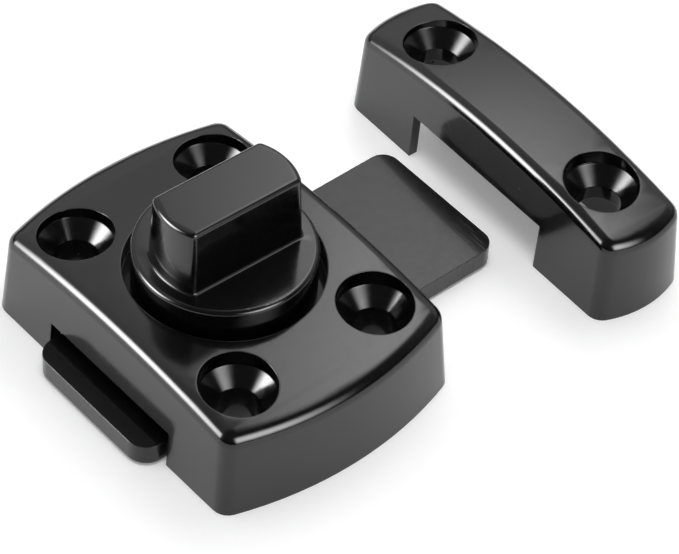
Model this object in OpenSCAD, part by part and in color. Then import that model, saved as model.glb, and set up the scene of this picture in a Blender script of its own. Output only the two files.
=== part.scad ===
// Rotating bolt latch with its keeper, as it lies with the bolt thrown.
// Millimetres. X runs along the bolt toward the keeper, Y across it, Z up.
// The mounting surface is z = 0 and the knob turns about the Z axis.

/* [Case] */
// Width of the case along the bolt, at its foot
case_w = 41; // [30:0.5:60]
// Length of the case across the bolt, between its corners
case_l = 50; // [40:0.5:80]
// Bulge of each bowed end beyond the corners
case_bow = 3.7; // [1:0.1:8]
// Height of the case at the crown of its dome
case_h = 15.8; // [12:0.1:24]
// Radius of the dome, which runs along the bolt
case_dome_r = 164; // [80:1:400]
// Corner radius in plan
case_corner_r = 2.6; // [1:0.1:5]
// Radius of the top edge
case_edge_r = 2; // [0.4:0.1:3]
// Thickness of the side walls
case_wall = 1.9; // [1.2:0.1:3]
// Thickness of the domed top
case_skin = 2.2; // [1.6:0.1:3]
// Inward lean of all walls per millimetre of height
draft = 0.07; // [0:0.01:0.12]

/* [Bolt] */
// Thickness of the bolt
bolt_t = 3.2; // [2:0.1:5]
// Width of the bolt
bolt_w = 24.4; // [16:0.1:30]
// Reach of the thrown tongue beyond the foot of the case
tongue_reach = 20.2; // [10:0.1:30]
// Reach of the tail beyond the foot of the case
tail_reach = 3.4; // [2:0.1:8]
// Corner radius of the tongue
tongue_corner_r = 2.6; // [0.5:0.1:5]
// Corner radius of the tail
tail_corner_r = 3.2; // [0.5:0.1:5]
// Height of the bolt above the mounting surface
bolt_lift = 0.6; // [0.1:0.1:1]
// Play beside the bolt in the case walls
bolt_side_play = 0.8; // [0.2:0.1:1.5]
// Room above the bolt in the case walls
bolt_top_room = 2.2; // [0.5:0.1:4]
// Travel of the bolt over a quarter turn of the knob
bolt_throw = 16; // [10:0.1:16]

/* [Knob] */
// Diameter of the round disc
disc_d = 26; // [16:0.1:32]
// Height of the disc top above the mounting surface
disc_top = 19.5; // [17:0.1:26]
// Radius of the disc rim
disc_edge_r = 0.7; // [0.4:0.1:2]
// Gap round the disc in the case
disc_gap = 1.2; // [0.3:0.1:2.5]
// Depth of the round recess below the crown
recess_depth = 4; // [1.5:0.1:4.5]
// Height of the grip above the disc
grip_h = 10.9; // [6:0.1:16]
// Length of the flat sides of the grip, at its foot
grip_l = 18.8; // [12:0.1:22]
// Thickness of the grip at its foot
grip_t = 10.2; // [6:0.1:14]
// Bulge of each end of the grip
grip_bow = 1.4; // [0.5:0.1:3]
// Corner radius of the grip in plan
grip_corner_r = 1; // [0.4:0.1:2]
// Radius of the top edge of the grip
grip_edge_r = 0.7; // [0.3:0.1:1.5]
// Radius of the hollow foot between grip and disc
grip_foot_r = 0.3; // [0.2:0.1:1]
// Inward lean of the grip per millimetre of height
grip_draft = 0.04; // [0:0.01:0.1]
// Turn of the grip out of line with the bolt
grip_turn = -1.5; // [-5:0.1:5]
// Diameter of the shaft below the disc
shaft_d = 10; // [7:0.1:13]
// Wall of the bearing round the shaft
bearing_wall = 3; // [1.5:0.1:4]
// Side of the square end of the shaft
square_w = 6; // [4:0.1:8]

/* [Crank] */
// Thickness of the crank under the case
crank_t = 3; // [2:0.1:4]
// Diameter of the crank hub
hub_d = 14; // [11:0.1:18]
// Diameter of the crank pin
pin_d = 4; // [3:0.1:6]
// Diameter of the head below the pin
pin_head_d = 6.4; // [5:0.1:9]
// Thickness of the head below the pin
pin_head_t = 0.9; // [0.6:0.1:1.4]
// Play of the pin on each side in the bolt
pin_play = 0.45; // [0.4:0.01:0.8]
// Diameter of the screw that holds the crank
crank_screw_d = 3; // [2:0.1:4]
// Length of the screw that holds the crank
crank_screw_l = 10; // [6:0.5:14]
// Rim of the screw head beyond its shank
crank_screw_rim = 1.3; // [0.8:0.1:2]
// Width of the slot in the screw head
crank_screw_slot = 0.6; // [0.4:0.1:1]
// Wall round the pin end of the crank arm
arm_wall = 1.5; // [1:0.1:2.5]
// Floor of the crank under the square end
crank_floor = 1.4; // [1:0.1:2]

/* [Screw holes] */
// Spacing of the case holes along the bolt
case_hole_dx = 24.2; // [18:0.1:32]
// Spacing of the case holes across the bolt
case_hole_dy = 35.4; // [30:0.1:50]
// Spacing of the keeper holes
keeper_hole_dy = 35.6; // [30:0.1:50]
// Diameter of the screw holes
screw_hole_d = 6.4; // [3:0.1:7]
// Diameter of the sunk mouth of each hole
sink_d = 11; // [8:0.1:12]
// Depth of the sunk mouth below the crown of its cover
sink_depth = 3.1; // [2.2:0.1:5]
// Wall round a screw hole below its cone
boss_wall = 1.2; // [1:0.1:2.2]
// Thickness of the ribs that tie the bosses to the walls
rib_t = 1.4; // [1:0.1:2]

/* [Keeper] */
// Depth of the keeper along the bolt, at its foot
keeper_w = 15.8; // [12:0.1:24]
// Length of the keeper between its corners
keeper_l = 55.2; // [46:0.1:80]
// Bulge of each end of the keeper
keeper_bow = 2; // [0.5:0.1:4]
// Height of the keeper at its crown
keeper_h = 16.9; // [12:0.1:24]
// Radius of the keeper dome
keeper_dome_r = 134; // [70:1:300]
// Corner radius of the keeper in plan
keeper_corner_r = 2.5; // [1:0.1:4]
// Radius of the top edge of the keeper
keeper_edge_r = 1.8; // [0.4:0.1:3]
// Inward lean of the keeper walls per millimetre of height
keeper_draft = 0.05; // [0:0.01:0.12]
// Thickness of the keeper walls
keeper_wall = 1.5; // [1.2:0.1:3]
// Length of the straight hole below each cone of the keeper
keeper_hole_l = 2.4; // [1.5:0.1:4]
// Width of the mouth for the tongue
mouth_w = 28; // [20:0.1:34]
// Height of the mouth for the tongue
mouth_h = 7.9; // [5:0.1:10]
// Distance from the foot of the case to the foot of the keeper
keeper_gap = 24.3; // [22:0.1:40]
// Shift of the loose keeper across the bolt
keeper_shift = -2.4; // [-6:0.1:6]
// Turn of the loose keeper
keeper_turn = -1.7; // [-6:0.1:6]

/* [Hidden] */
$fn = 96;

fit_gap = 0.05;
slide_gap = 0.1;
side_steps = 16;
bow_steps = 16;
corner_steps = 5;
edge_steps = 4;
foot_steps = 3;
join = 0.5;
least_r = 0.5;
recess_r = disc_d / 2 + disc_gap;
recess_floor = case_h - recess_depth;
recess_under = recess_floor - case_skin;
bolt_top = bolt_lift + bolt_t;
crank_bottom = bolt_top + slide_gap;
crank_top = crank_bottom + crank_t;
bearing_bottom = crank_top + slide_gap;
crank_r = bolt_throw / 2 / cos(45);
knob_bottom = recess_floor + slide_gap;
bolt_x0 = -(case_w / 2 + tail_reach);
bolt_x1 = case_w / 2 + tongue_reach;
slot_w = pin_d + 2 * pin_play;
head_slot_w = pin_head_d + 2 * pin_play;
slot_x = crank_r * cos(45);
slot_y = crank_r * sin(45);
head_bottom = bolt_lift + slide_gap;
head_pocket_top = head_bottom + pin_head_t + 2 * slide_gap;
case_sink_z = case_h - sink_depth;
keeper_sink_z = keeper_h - sink_depth;
boss_r = screw_hole_d / 2 + boss_wall;
sink_boss_r = sink_d / 2 + boss_wall;
cone_h = (sink_d - screw_hole_d) / 2;
case_rib_z = case_sink_z - cone_h;
slot_half = bolt_w / 2 + bolt_side_play;
bearing_d = shaft_d + 2 * bearing_wall;
arm_w = pin_d + 2 * arm_wall;
screw_head_d = crank_screw_d + 2 * crank_screw_rim;
keeper_post_z = keeper_sink_z - cone_h - keeper_hole_l;
keeper_x = case_w / 2 + keeper_gap + keeper_w / 2;

// Plan outline: two straight sides, two bowed ends, four round corners.
// a and b are the half width and half length, s the bulge, e the inset.
function bow_r(a, s) = (a * a + s * s) / (2 * s);

function bow_arc(r, y, t0, t1, n) =
    [for (i = [0:n - 1]) let (t = t0 + (t1 - t0) * i / n) [r * cos(t), y + r * sin(t)]];

function corner_arc(x, y, r, t0, t1) =
    [for (i = [0:corner_steps - 1]) let (t = t0 + (t1 - t0) * i / corner_steps)
        [x + r * cos(t), y + r * sin(t)]];

function side_line(x, y0, y1) =
    [for (i = [0:side_steps - 1]) [x, y0 + (y1 - y0) * i / side_steps]];

function outline(a, b, s, rc, e) =
    let (
        r = bow_r(a, s),
        c = r - b - s,
        ax = a - rc - e,
        ri = r - rc - e,
        ay = sqrt(ri * ri - ax * ax) - c,
        ph = asin(ax / ri)
    )
    concat(
        side_line(ax + rc, -ay, ay),
        corner_arc(ax, ay, rc, 0, 90 - ph),
        bow_arc(ri + rc, -c, 90 - ph, 90 + ph, bow_steps),
        corner_arc(-ax, ay, rc, 90 + ph, 180),
        side_line(-(ax + rc), ay, -ay),
        corner_arc(-ax, -ay, rc, 180, 270 - ph),
        bow_arc(ri + rc, c, 270 - ph, 270 + ph, bow_steps),
        corner_arc(ax, -ay, rc, 270 + ph, 360)
    );

// Strips across a ring between points that mirror each other in the Y axis.
function strips(first, n, m) =
    [for (j = [0:n / 2 - 1]) [first + (m - j + n) % n, first + (m + j) % n,
        first + (m + j + 1) % n, first + (m - j - 1 + n) % n]];

function dome(y, h, r) = h - r + sqrt(r * r - y * y);

// Loft through rings of outlines. Each level is [inset, z, drop, sharpen]; a ring with
// a drop follows the dome that far below it, and one without lies flat at its z.
// Sharpen shortens the corner radius, as a rounded edge does round a corner.
module loft(a, b, s, rc, h, r, levels) {
    n = 2 * side_steps + 2 * bow_steps + 4 * corner_steps;
    m = side_steps + corner_steps + bow_steps / 2;
    top = len(levels) - 1;
    points = [for (l = levels) let (sharp = is_undef(l[3]) ? 0 : l[3])
        for (p = outline(a, b, s, max(rc - sharp, least_r), l[0]))
            [p[0], p[1], is_undef(l[2]) ? l[1] : dome(p[1], h, r) - l[2]]];
    walls = [for (j = [0:top - 1]) for (i = [0:n - 1])
        let (k = (i + 1) % n)
        for (f = [[j * n + i, (j + 1) * n + i, (j + 1) * n + k], [j * n + i, (j + 1) * n + k, j * n + k]]) f];
    crown = [for (f = strips(top * n, n, m)) [f[3], f[2], f[1], f[0]]];
    foot = strips(0, n, m);
    polyhedron(points = points, faces = concat(foot, walls, crown), convexity = 4);
}

function edge_levels(e, r) =
    [for (i = [0:edge_steps]) let (t = 90 * i / edge_steps)
        [e + r * (1 - cos(t)), 0, r * (1 - sin(t)), r * (1 - cos(t))]];

function foot_levels(r) =
    [for (i = [0:foot_steps]) let (t = 90 * i / foot_steps) [r * sin(t) - r, r * (1 - cos(t))]];

// Outside of a domed cover with leaning walls, standing on z = 0.
module cover(a, b, s, rc, h, r, edge, lean) {
    loft(a, b, s, rc, h, r, concat([[0, 0]], edge_levels(lean * (h - edge), edge)));
}

// Hollow of a domed cover, open below.
module hollow(a, b, s, rc, h, r, wall, skin, lean) {
    loft(a, b, s, rc, h, r,
        [[wall - lean, -1, undef, wall], [wall + lean * (h - skin), 0, skin, wall]]);
}

module sunk_hole(sink_z) {
    translate([0, 0, -1]) cylinder(d = screw_hole_d, h = sink_z + 1);
    translate([0, 0, sink_z - cone_h]) cylinder(d1 = screw_hole_d, d2 = sink_d, h = cone_h);
    translate([0, 0, sink_z]) cylinder(d = sink_d, h = sink_depth + 2);
}

// Post round a screw hole, from foot up to the skin, that flares under the cone.
module boss(foot, sink_z, under) {
    flare_z = sink_z - cone_h - join;
    translate([0, 0, foot]) cylinder(r = boss_r, h = under + join - foot);
    translate([0, 0, flare_z]) cylinder(r1 = boss_r, r2 = sink_boss_r, h = under + join - flare_z);
}

module case_holes() {
    for (x = [-1, 1], y = [-1, 1]) {
        translate([x * case_hole_dx / 2, y * case_hole_dy / 2, 0]) children();
    }
}

module case_body() {
    boss_under = dome(case_hole_dy / 2, case_h, case_dome_r) - case_skin;
    rib_l = (case_w - case_hole_dx - case_wall) / 2;
    difference() {
        union() {
            difference() {
                cover(case_w / 2, case_l / 2, case_bow, case_corner_r, case_h, case_dome_r,
                    case_edge_r, draft);
                hollow(case_w / 2, case_l / 2, case_bow, case_corner_r, case_h, case_dome_r,
                    case_wall, case_skin, draft);
            }
            case_holes() boss(0, case_sink_z, boss_under);
            for (x = [-1, 1], y = [-1, 1]) {
                translate([x * (case_hole_dx + rib_l) / 2, y * case_hole_dy / 2, case_rib_z / 2 + 1])
                    cube([rib_l, rib_t, case_rib_z - 2], center = true);
            }
            translate([0, 0, recess_under]) cylinder(r = recess_r + case_wall, h = case_skin + join);
            translate([0, 0, bearing_bottom]) cylinder(d = bearing_d, h = recess_under - bearing_bottom + join);
        }
        translate([0, 0, recess_floor]) cylinder(r = recess_r, h = recess_depth + 2);
        translate([0, 0, bearing_bottom - 1]) cylinder(r = shaft_d / 2 + fit_gap, h = recess_floor);
        case_holes() sunk_hole(case_sink_z);
        translate([-case_w, -slot_half, -1]) cube([2 * case_w, 2 * slot_half, bolt_top + bolt_top_room + 1]);
    }
}

module grip() {
    h = grip_h + join;
    side = grip_draft * (h - grip_edge_r);
    top_levels = [for (i = [0:edge_steps]) let (t = 90 * i / edge_steps)
        [side + grip_edge_r * (1 - cos(t)), h - grip_edge_r * (1 - sin(t)), undef, grip_edge_r * (1 - cos(t))]];
    foot_levels = [for (i = [0:foot_steps]) let (t = 90 * i / foot_steps)
        [grip_foot_r * (sin(t) - 1), join + grip_foot_r * (1 - cos(t))]];
    translate([0, 0, disc_top - join]) rotate([0, 0, 90 + grip_turn])
        loft(grip_t / 2, grip_l / 2, grip_bow, grip_corner_r, h, case_dome_r,
            concat([[-grip_foot_r, 0]], foot_levels, top_levels));
}

// Disc with its rounded rim, grip above, shaft with a square end below.
module knob() {
    difference() {
        union() {
            rotate_extrude() {
                difference() {
                    translate([0, knob_bottom]) square([disc_d / 2, disc_top - knob_bottom]);
                    translate([disc_d / 2 - disc_edge_r, disc_top - disc_edge_r]) difference() {
                        square([disc_edge_r + 1, disc_edge_r + 1]);
                        circle(r = disc_edge_r);
                    }
                }
            }
            grip();
            translate([0, 0, bearing_bottom]) cylinder(d = shaft_d, h = knob_bottom - bearing_bottom + join);
            translate([0, 0, (crank_bottom + crank_floor + bearing_bottom + join) / 2])
                cube([square_w, square_w, bearing_bottom + join - crank_bottom - crank_floor], center = true);
        }
        translate([0, 0, crank_bottom - 1]) cylinder(d = crank_screw_d + 2 * fit_gap, h = crank_screw_l + 2);
    }
}

// Crank on the square end, with a headed pin that runs in the side slot of the bolt.
module crank() {
    difference() {
        union() {
            translate([0, 0, crank_bottom]) cylinder(d = hub_d, h = crank_t);
            rotate([0, 0, 45]) {
                translate([0, -arm_w / 2, crank_bottom]) cube([crank_r, arm_w, crank_t]);
                translate([crank_r, 0, crank_bottom]) cylinder(d = arm_w, h = crank_t);
                translate([crank_r, 0, head_bottom]) cylinder(d = pin_d, h = crank_bottom + 1 - head_bottom);
                translate([crank_r, 0, head_bottom]) cylinder(d = pin_head_d, h = pin_head_t);
            }
        }
        translate([0, 0, crank_bottom + crank_floor + crank_t / 2])
            cube([square_w + 2 * fit_gap, square_w + 2 * fit_gap, crank_t], center = true);
        translate([0, 0, crank_bottom - 1]) cylinder(d = crank_screw_d + 2 * fit_gap, h = crank_t);
        translate([0, 0, crank_bottom]) cylinder(d1 = screw_head_d, d2 = crank_screw_d + 2 * fit_gap,
            h = (screw_head_d - crank_screw_d) / 2 - fit_gap);
    }
}

// Sunk-head screw from below, flush with the crank.
module crank_screw() {
    head_h = (screw_head_d - 4 * fit_gap - crank_screw_d) / 2;
    difference() {
        union() {
            translate([0, 0, crank_bottom]) cylinder(d = crank_screw_d, h = crank_screw_l);
            translate([0, 0, crank_bottom])
                cylinder(d1 = screw_head_d - 4 * fit_gap, d2 = crank_screw_d, h = head_h);
        }
        translate([-screw_head_d, -crank_screw_slot / 2, crank_bottom - 1])
            cube([2 * screw_head_d, crank_screw_slot, 1 + head_h / 2]);
    }
}

// Plate from x0 to x1 with corners of radius r0 at one end and r1 at the other.
module plate_outline(x0, x1, w, r0, r1) {
    translate([x0 + r0, -w / 2]) square([x1 - x0 - r0 - r1, w]);
    translate([x0, -w / 2 + r0]) square([r0 + join, w - 2 * r0]);
    translate([x1 - r1 - join, -w / 2 + r1]) square([r1 + join, w - 2 * r1]);
    for (y = [-1, 1]) {
        translate([x0 + r0, y * (w / 2 - r0)]) circle(r = r0);
        translate([x1 - r1, y * (w / 2 - r1)]) circle(r = r1);
    }
}

// Side slot that takes the pin: round at its inner end, open at the edge of the bolt.
module side_slot(w) {
    translate([slot_x, slot_y]) circle(d = w);
    translate([slot_x - w / 2, slot_y]) square([w, bolt_w]);
}

module bolt() {
    difference() {
        translate([0, 0, bolt_lift]) linear_extrude(height = bolt_t)
            plate_outline(bolt_x0, bolt_x1, bolt_w, tail_corner_r, tongue_corner_r);
        translate([0, 0, -1]) linear_extrude(height = bolt_top + 2) side_slot(slot_w);
        translate([0, 0, -1]) linear_extrude(height = head_pocket_top + 1) side_slot(head_slot_w);
    }
}

module keeper_holes() {
    for (y = [-1, 1]) {
        translate([0, y * keeper_hole_dy / 2, 0]) children();
    }
}

module keeper() {
    boss_under = dome(keeper_hole_dy / 2, keeper_h, keeper_dome_r) - case_skin;
    translate([keeper_x, keeper_shift, 0]) rotate([0, 0, keeper_turn]) difference() {
        union() {
            difference() {
                cover(keeper_w / 2, keeper_l / 2, keeper_bow, keeper_corner_r, keeper_h, keeper_dome_r,
                    keeper_edge_r, keeper_draft);
                hollow(keeper_w / 2, keeper_l / 2, keeper_bow, keeper_corner_r, keeper_h, keeper_dome_r,
                    keeper_wall, case_skin, keeper_draft);
            }
            intersection() {
                keeper_holes() boss(keeper_post_z, keeper_sink_z, boss_under);
                cover(keeper_w / 2, keeper_l / 2, keeper_bow, keeper_corner_r, keeper_h, keeper_dome_r,
                    keeper_edge_r, keeper_draft);
            }
        }
        keeper_holes() sunk_hole(keeper_sink_z);
        translate([-keeper_w, -mouth_w / 2, -1])
            cube([keeper_w / 2 + keeper_wall + keeper_draft * mouth_h + join, mouth_w, mouth_h + 1]);
    }
}

color([0.16, 0.16, 0.17]) case_body();  // case
color([0.2, 0.2, 0.21]) knob();
color([0.6, 0.6, 0.62]) crank();
color([0.7, 0.7, 0.72]) crank_screw();
color([0.25, 0.25, 0.26]) bolt();
color([0.16, 0.16, 0.17]) keeper();
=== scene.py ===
import math
import bpy
from mathutils import Matrix, Quaternion, Vector

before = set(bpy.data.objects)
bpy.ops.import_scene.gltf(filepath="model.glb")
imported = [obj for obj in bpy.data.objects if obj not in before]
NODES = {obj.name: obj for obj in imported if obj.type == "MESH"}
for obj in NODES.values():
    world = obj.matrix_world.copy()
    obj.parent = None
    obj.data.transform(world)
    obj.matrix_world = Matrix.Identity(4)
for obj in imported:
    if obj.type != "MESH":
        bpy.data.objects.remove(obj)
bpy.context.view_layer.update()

MM = 0.001
# Facets that turn less than this many degrees are shaded as one round
SMOOTH_BELOW = 32
# Colours
WORN = (0.045, 0.045, 0.046)
DUST = (0.30, 0.30, 0.29)
RUBBED = (0.035, 0.035, 0.036)
STEEL_DARK = (0.50, 0.50, 0.49)
STEEL_LIGHT = (0.68, 0.68, 0.66)
# Patterns, in cells per metre
SLOW_WAVES = 160.0
GRAIN = 900.0
FINE_GRAIN = 5200.0
DUST_CELLS = 420.0
# Roughness where the coat is rubbed, and where it lies dull in the recess of the knob
RUBBED_ROUGH = 0.42
WELL_ROUGH = 0.75
# Millimetres: rounding of the edges in the shading, worn rim of the edges, height of the fine grain
BEVEL = 0.28
WORN_EDGE = 0.16
FINE_HEIGHT = 0.0006
# Millimetres: where the strokes on the tongue begin and are full, and the gap round the knob
STROKES_X = (24.0, 30.0)
STROKES_Y = (-4.0, -11.5)
KNOB_GAP = 1.2
# Point that the softboxes face
PART_MID = (0.02, 0.0, 0.012)

# Brightest and darkest part of the room, relative to white, and the direction of its dark side
WORLD = 0.76
DARK_SIDE = 0.11
DARK_TOWARD = (-0.30, -0.80, 0.52)
# Colour of the floor, the light it adds for the camera, reflections and transmission so that it
# shows white, and its side in metres
FLOOR = 0.95
FLOOR_LIFT = 0.22
FLOOR_SIZE = 1.5
# Each softbox: direction from the part, distance, width and height in metres, strength, softness, tilt
TOP = ((0.479, 0.138, 0.868), 0.363, 0.62, 0.19, 3.65, 1.0, -0.54)
LEFT = ((-0.78, 0.50, 0.36), 0.80, 0.72, 0.72, 24.0, 0.9, 0.0)
FRONT = ((0.02, -0.91, 0.40), 0.80, 0.80, 0.70, 10.6, 0.9, 0.0)
HIGH = ((-0.10, -0.15, 0.98), 1.10, 0.80, 0.80, 7.6, 0.8, 0.0)


# Materials
def new_material(name):
    m = bpy.data.materials.new(name)
    m.use_nodes = True
    t = m.node_tree
    t.nodes.clear()
    out = t.nodes.new("ShaderNodeOutputMaterial")
    bsdf = t.nodes.new("ShaderNodeBsdfPrincipled")
    t.links.new(bsdf.outputs["BSDF"], out.inputs["Surface"])
    return m, t, bsdf


def noise(t, vec, scale, detail=3.0, rough=0.5):
    n = t.nodes.new("ShaderNodeTexNoise")
    n.inputs["Scale"].default_value = scale
    n.inputs["Detail"].default_value = detail
    n.inputs["Roughness"].default_value = rough
    t.links.new(vec, n.inputs["Vector"])
    return n.outputs["Fac"]


def ramp(t, fac, a, b, lo, hi):
    """Maps fac between a and b to a value between lo and hi."""
    m = t.nodes.new("ShaderNodeMapRange")
    m.inputs["From Min"].default_value = a
    m.inputs["From Max"].default_value = b
    m.inputs["To Min"].default_value = lo
    m.inputs["To Max"].default_value = hi
    t.links.new(fac, m.inputs["Value"])
    return m.outputs["Result"]


def mix_color(t, fac, c0, c1):
    m = t.nodes.new("ShaderNodeMix")
    m.data_type = "RGBA"
    t.links.new(fac, m.inputs[0])
    m.inputs[6].default_value = (*c0, 1)
    m.inputs[7].default_value = (*c1, 1)
    return m.outputs[2]


def blend(t, fac, color, c1):
    """Mixes a node's colour towards a fixed one."""
    m = t.nodes.new("ShaderNodeMix")
    m.data_type = "RGBA"
    t.links.new(fac, m.inputs[0])
    t.links.new(color, m.inputs[6])
    m.inputs[7].default_value = (*c1, 1)
    return m.outputs[2]


def product(t, a, b):
    m = t.nodes.new("ShaderNodeMath")
    m.operation = "MULTIPLY"
    t.links.new(a, m.inputs[0])
    t.links.new(b, m.inputs[1])
    return m.outputs[0]


def toward_value(t, fac, value, goal):
    """Moves a node's value toward a fixed one."""
    m = t.nodes.new("ShaderNodeMix")
    t.links.new(fac, m.inputs[0])
    t.links.new(value, m.inputs[2])
    m.inputs[3].default_value = goal
    return m.outputs[0]


def bump(t, height, distance, normal):
    b = t.nodes.new("ShaderNodeBump")
    b.inputs["Strength"].default_value = 1.0
    b.inputs["Distance"].default_value = distance * MM
    t.links.new(height, b.inputs["Height"])
    t.links.new(normal, b.inputs["Normal"])
    return b.outputs["Normal"]


def bevel(t, radius, samples):
    """The normal as it would be on edges rounded by this radius."""
    b = t.nodes.new("ShaderNodeBevel")
    b.samples = samples
    b.inputs["Radius"].default_value = radius * MM
    return b.outputs["Normal"]


def axes(t, vec):
    parts = t.nodes.new("ShaderNodeSeparateXYZ")
    t.links.new(vec, parts.inputs[0])
    return parts.outputs


def edge_mask(t, radius):
    """1 on sharp outside edges, 0 on flats."""
    geo = t.nodes.new("ShaderNodeNewGeometry")
    dot = t.nodes.new("ShaderNodeVectorMath")
    dot.operation = "DOT_PRODUCT"
    t.links.new(geo.outputs["Normal"], dot.inputs[0])
    t.links.new(bevel(t, radius, 6), dot.inputs[1])
    return ramp(t, dot.outputs["Value"], 0.985, 0.80, 0.0, 1.0)


def dust_mask(t, obj):
    """Round specks in a fifth of the cells of a pattern."""
    cells = t.nodes.new("ShaderNodeTexVoronoi")
    cells.inputs["Scale"].default_value = DUST_CELLS
    t.links.new(obj, cells.inputs["Vector"])
    pick = t.nodes.new("ShaderNodeSeparateColor")
    t.links.new(cells.outputs["Color"], pick.inputs[0])
    speck = ramp(t, cells.outputs["Distance"], 0.030, 0.045, 1.0, 0.0)
    return product(t, speck, ramp(t, pick.outputs[0], 0.80, 0.82, 0.0, 1.0))


def stroke_mask(t, obj):
    """Faint strokes across the tongue near its front edge."""
    flat = t.nodes.new("ShaderNodeMapping")
    flat.inputs["Scale"].default_value = (1.0, 0.06, 1.0)
    flat.inputs["Rotation"].default_value = (0, 0, 0.12)
    t.links.new(obj, flat.inputs["Vector"])
    stroke = noise(t, flat.outputs["Vector"], 2600.0, 4.0, 0.6)
    at = axes(t, obj)
    along = ramp(t, at["X"], STROKES_X[0] * MM, STROKES_X[1] * MM, 0, 1)
    front = ramp(t, at["Y"], STROKES_Y[0] * MM, STROKES_Y[1] * MM, 0, 1)
    return product(t, ramp(t, stroke, 0.52, 0.66, 0, 1), product(t, along, front))


def well_mask(t, obj, radius, top):
    """1 in a round well about the Z axis, inside this radius and below this height."""
    across = t.nodes.new("ShaderNodeVectorMath")
    across.operation = "MULTIPLY"
    t.links.new(obj, across.inputs[0])
    across.inputs[1].default_value = (1, 1, 0)
    far = t.nodes.new("ShaderNodeVectorMath")
    far.operation = "LENGTH"
    t.links.new(across.outputs[0], far.inputs[0])
    inside = ramp(t, far.outputs["Value"], (radius + 0.08) * MM, (radius + 0.03) * MM, 0, 1)
    return product(t, inside, ramp(t, axes(t, obj)["Z"], top * MM, (top - 0.4) * MM, 0, 1))


def black_coat(name, base, wave=0.003, grain=0.0018, rough=0.15, ior=1.44, well=None, brushed=False):
    """Glossy black coating over a casting: slow waves, fine grain, dust and faintly worn edges."""
    m, t, bsdf = new_material(name)
    obj = t.nodes.new("ShaderNodeTexCoord").outputs["Object"]
    slow = noise(t, obj, SLOW_WAVES, 2.0)
    mid = noise(t, obj, GRAIN, 3.0)
    fine = noise(t, obj, FINE_GRAIN, 2.0)
    color = mix_color(t, ramp(t, slow, 0.35, 0.65, 0, 1), base, tuple(c * 1.6 for c in base))
    worn = product(t, edge_mask(t, WORN_EDGE), ramp(t, mid, 0.38, 0.62, 0.15, 1.0))
    color = blend(t, worn, color, WORN)
    color = blend(t, dust_mask(t, obj), color, DUST)
    roughness = ramp(t, mid, 0.35, 0.7, rough - 0.025, rough + 0.035)
    if brushed:
        rub = stroke_mask(t, obj)
        color = blend(t, rub, color, RUBBED)
        roughness = toward_value(t, rub, roughness, RUBBED_ROUGH)
    if well:
        roughness = toward_value(t, well_mask(t, obj, *well), roughness, WELL_ROUGH)
    t.links.new(color, bsdf.inputs["Base Color"])
    t.links.new(roughness, bsdf.inputs["Roughness"])
    bsdf.inputs["IOR"].default_value = ior
    bsdf.inputs["Coat Weight"].default_value = 0.3
    bsdf.inputs["Coat Roughness"].default_value = 0.08
    normal = bump(t, slow, wave, bevel(t, BEVEL, 8))
    normal = bump(t, mid, grain, normal)
    normal = bump(t, fine, FINE_HEIGHT, normal)
    t.links.new(normal, bsdf.inputs["Normal"])
    return m


def plated_steel(name):
    """Dull zinc-plated steel with a slight mottle."""
    m, t, bsdf = new_material(name)
    obj = t.nodes.new("ShaderNodeTexCoord").outputs["Object"]
    fine = noise(t, obj, 2500.0, 3.0)
    slow = noise(t, obj, 300.0, 3.0)
    bsdf.inputs["Metallic"].default_value = 1.0
    color = mix_color(t, ramp(t, slow, 0.3, 0.7, 0, 1), STEEL_DARK, STEEL_LIGHT)
    t.links.new(color, bsdf.inputs["Base Color"])
    t.links.new(ramp(t, fine, 0.3, 0.7, 0.25, 0.42), bsdf.inputs["Roughness"])
    t.links.new(bump(t, fine, 0.003, bevel(t, 0.15, 6)), bsdf.inputs["Normal"])
    return m


well_radius = NODES["knob"].dimensions.x / 2 / MM + KNOB_GAP
case_top = NODES["case"].dimensions.z / MM
case_mat = black_coat("case_coat", (0.0024, 0.0024, 0.0025), well=(well_radius, case_top))
knob_mat = black_coat("knob_coat", (0.0022, 0.0022, 0.0023))
bolt_mat = black_coat("bolt_coat", (0.0030, 0.0030, 0.0031), rough=0.22, ior=1.38, brushed=True)
keeper_mat = black_coat("keeper_coat", (0.0025, 0.0025, 0.0026), wave=0.004, grain=0.0034)
steel_mat = plated_steel("plated_steel")
MATS = {"case": case_mat, "knob": knob_mat, "bolt": bolt_mat, "keeper": keeper_mat,
        "crank": steel_mat, "crank_screw": steel_mat}
for n, o in NODES.items():
    o.data.materials.clear()
    o.data.materials.append(MATS[n])


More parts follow.
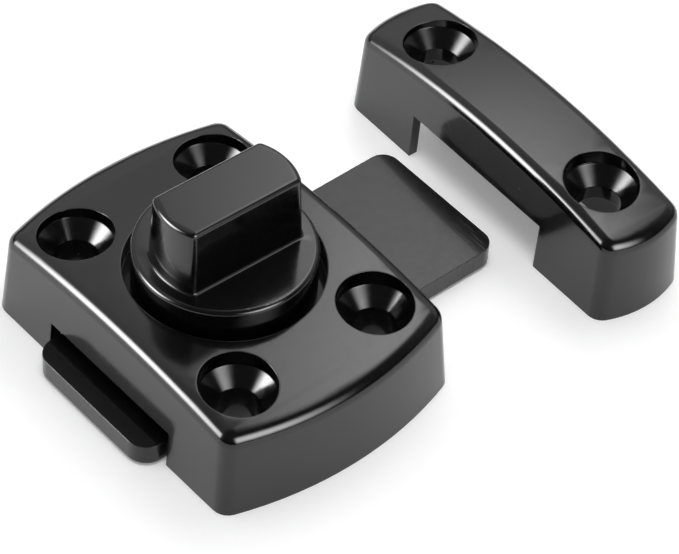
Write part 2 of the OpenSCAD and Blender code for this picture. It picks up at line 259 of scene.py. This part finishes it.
def soften_group(angle):
    """Shades faces smooth across every edge that turns less than the angle."""
    g = bpy.data.node_groups.new("soften", "GeometryNodeTree")
    g.interface.new_socket("Geometry", in_out="INPUT", socket_type="NodeSocketGeometry")
    g.interface.new_socket("Geometry", in_out="OUTPUT", socket_type="NodeSocketGeometry")
    gin = g.nodes.new("NodeGroupInput")
    gout = g.nodes.new("NodeGroupOutput")
    merge = g.nodes.new("GeometryNodeMergeByDistance")
    merge.inputs["Distance"].default_value = 0.000001
    drop = g.nodes.new("GeometryNodeRemoveAttribute")
    drop.inputs["Name"].default_value = "custom_normal"
    faces = g.nodes.new("GeometryNodeSetShadeSmooth")
    faces.domain = "FACE"
    edges = g.nodes.new("GeometryNodeSetShadeSmooth")
    edges.domain = "EDGE"
    turn = g.nodes.new("GeometryNodeInputMeshEdgeAngle")
    less = g.nodes.new("FunctionNodeCompare")
    less.operation = "LESS_THAN"
    less.inputs[1].default_value = math.radians(angle)
    g.links.new(turn.outputs["Unsigned Angle"], less.inputs[0])
    g.links.new(gin.outputs[0], merge.inputs["Geometry"])
    g.links.new(merge.outputs["Geometry"], drop.inputs["Geometry"])
    g.links.new(drop.outputs["Geometry"], faces.inputs["Geometry"])
    g.links.new(faces.outputs["Geometry"], edges.inputs["Geometry"])
    g.links.new(less.outputs["Result"], edges.inputs["Shade Smooth"])
    g.links.new(edges.outputs["Geometry"], gout.inputs[0])
    return g


group = soften_group(SMOOTH_BELOW)
for o in NODES.values():
    o.modifiers.new("soften", "NODES").node_group = group
    w = o.modifiers.new("weights", "WEIGHTED_NORMAL")
    w.mode = "FACE_AREA_WITH_ANGLE"
    w.weight = 100
    w.keep_sharp = True


# Camera
AZ, EL, ROLL = math.radians(-43.133), math.radians(46.246), math.radians(3.725)
DIST, F_PX = 522.7 * MM, 3655.9
TARGET = Vector((21.081 * MM, -0.667 * MM, 0.0))
SENSOR_MM, WIDTH_PX = 36.0, 679.0
back = Vector((math.sin(AZ) * math.cos(EL), -math.cos(AZ) * math.cos(EL), math.sin(EL)))
right = (-back).cross(Vector((0, 0, 1))).normalized()
up = right.cross(-back)
r2 = right * math.cos(ROLL) + up * math.sin(ROLL)
u2 = -right * math.sin(ROLL) + up * math.cos(ROLL)
cam_data = bpy.data.cameras.new("camera")
cam = bpy.data.objects.new("camera", cam_data)
bpy.context.scene.collection.objects.link(cam)
rot = Matrix((r2, u2, back)).transposed()
cam.matrix_world = Matrix.Translation(TARGET + back * DIST) @ rot.to_4x4()
cam_data.sensor_width = SENSOR_MM
cam_data.sensor_fit = "HORIZONTAL"
cam_data.lens = SENSOR_MM * F_PX / WIDTH_PX
cam_data.clip_start = 0.01
cam_data.clip_end = 20
bpy.context.scene.camera = cam


# Stage
def add_plane(name, size):
    bpy.ops.mesh.primitive_plane_add(size=size, location=(PART_MID[0], 0, 0))
    o = bpy.context.object
    o.name = name
    return o


def any_ray(t, kinds):
    """1 for a ray of any of these kinds."""
    path = t.nodes.new("ShaderNodeLightPath")
    found = path.outputs[kinds[0]]
    for kind in kinds[1:]:
        either = t.nodes.new("ShaderNodeMath")
        either.operation = "MAXIMUM"
        t.links.new(found, either.inputs[0])
        t.links.new(path.outputs[kind], either.inputs[1])
        found = either.outputs[0]
    return found


floor = add_plane("floor", FLOOR_SIZE)
m, t, bsdf = new_material("floor_white")
bsdf.inputs["Base Color"].default_value = (FLOOR, FLOOR, FLOOR, 1)
bsdf.inputs["Roughness"].default_value = 0.7
seen = t.nodes.new("ShaderNodeMath")
seen.operation = "MULTIPLY"
t.links.new(any_ray(t, ("Is Camera Ray", "Is Glossy Ray", "Is Transmission Ray")), seen.inputs[0])
seen.inputs[1].default_value = FLOOR_LIFT
bsdf.inputs["Emission Color"].default_value = (1, 1, 1, 1)
t.links.new(seen.outputs[0], bsdf.inputs["Emission Strength"])
floor.data.materials.append(m)


def softbox(name, toward, distance, width, height, strength, soft, tilt):
    """A softbox seen from the part in one direction, bright in the middle and fading to its edges."""
    d = Vector(toward).normalized()
    o = add_plane(name, 1.0)
    o.scale = (width, height, 1.0)
    o.location = Vector(PART_MID) + d * distance
    o.rotation_euler = (d.to_track_quat("Z", "Y") @ Quaternion((0, 0, 1), tilt)).to_euler()
    m, t, bsdf = new_material(name)
    t.nodes.remove(bsdf)
    tc = t.nodes.new("ShaderNodeTexCoord")
    sep = axes(t, tc.outputs["Generated"])
    fades = []
    for axis in ("X", "Y"):
        offset = t.nodes.new("ShaderNodeMath")
        offset.operation = "SUBTRACT"
        t.links.new(sep[axis], offset.inputs[0])
        offset.inputs[1].default_value = 0.5
        a = t.nodes.new("ShaderNodeMath")
        a.operation = "ABSOLUTE"
        t.links.new(offset.outputs[0], a.inputs[0])
        r = t.nodes.new("ShaderNodeMapRange")
        r.interpolation_type = "SMOOTHSTEP"
        r.inputs["From Min"].default_value = 0.5 * (1 - soft)
        r.inputs["From Max"].default_value = 0.5
        r.inputs["To Min"].default_value = 1.0
        r.inputs["To Max"].default_value = 0.0
        t.links.new(a.outputs[0], r.inputs["Value"])
        fades.append(r.outputs["Result"])
    glow = t.nodes.new("ShaderNodeMath")
    glow.operation = "MULTIPLY"
    t.links.new(product(t, fades[0], fades[1]), glow.inputs[0])
    glow.inputs[1].default_value = strength
    em = t.nodes.new("ShaderNodeEmission")
    t.links.new(glow.outputs[0], em.inputs["Strength"])
    clear = t.nodes.new("ShaderNodeBsdfTransparent")
    add = t.nodes.new("ShaderNodeAddShader")
    t.links.new(em.outputs[0], add.inputs[0])
    t.links.new(clear.outputs[0], add.inputs[1])
    t.links.new(add.outputs[0], t.nodes["Material Output"].inputs["Surface"])
    o.data.materials.append(m)
    o.visible_camera = False
    o.visible_shadow = False
    return o


softbox("softbox_top", *TOP)
left_box = softbox("softbox_left", *LEFT)
front_box = softbox("softbox_front", *FRONT)
high_box = softbox("softbox_high", *HIGH)
# the high one lights the floor and the surfaces, the low ones only draw the highlights
high_box.visible_glossy = False
left_box.visible_diffuse = False
front_box.visible_diffuse = False

world = bpy.data.worlds.new("world")
bpy.context.scene.world = world
world.use_nodes = True
wt = world.node_tree
bg = wt.nodes["Background"]
bg.inputs["Color"].default_value = (1, 1, 1, 1)
# the room is dark behind the camera and towards the horizon, and white as a background
wc = wt.nodes.new("ShaderNodeTexCoord")
wd = wt.nodes.new("ShaderNodeVectorMath")
wd.operation = "DOT_PRODUCT"
wt.links.new(wc.outputs["Generated"], wd.inputs[0])
wd.inputs[1].default_value = DARK_TOWARD
side = ramp(wt, wd.outputs["Value"], 0.10, 0.55, 1.0, DARK_SIDE)
high = ramp(wt, axes(wt, wc.outputs["Generated"])["Z"], 0.12, 0.42, DARK_SIDE, WORLD)
room = product(wt, side, high)
cam_ray = wt.nodes.new("ShaderNodeMix")
wt.links.new(any_ray(wt, ("Is Camera Ray", "Is Transmission Ray")), cam_ray.inputs[0])
wt.links.new(room, cam_ray.inputs[2])
cam_ray.inputs[3].default_value = 1.0
wt.links.new(cam_ray.outputs[0], bg.inputs["Strength"])

bpy.context.scene.view_settings.view_transform = "Standard"
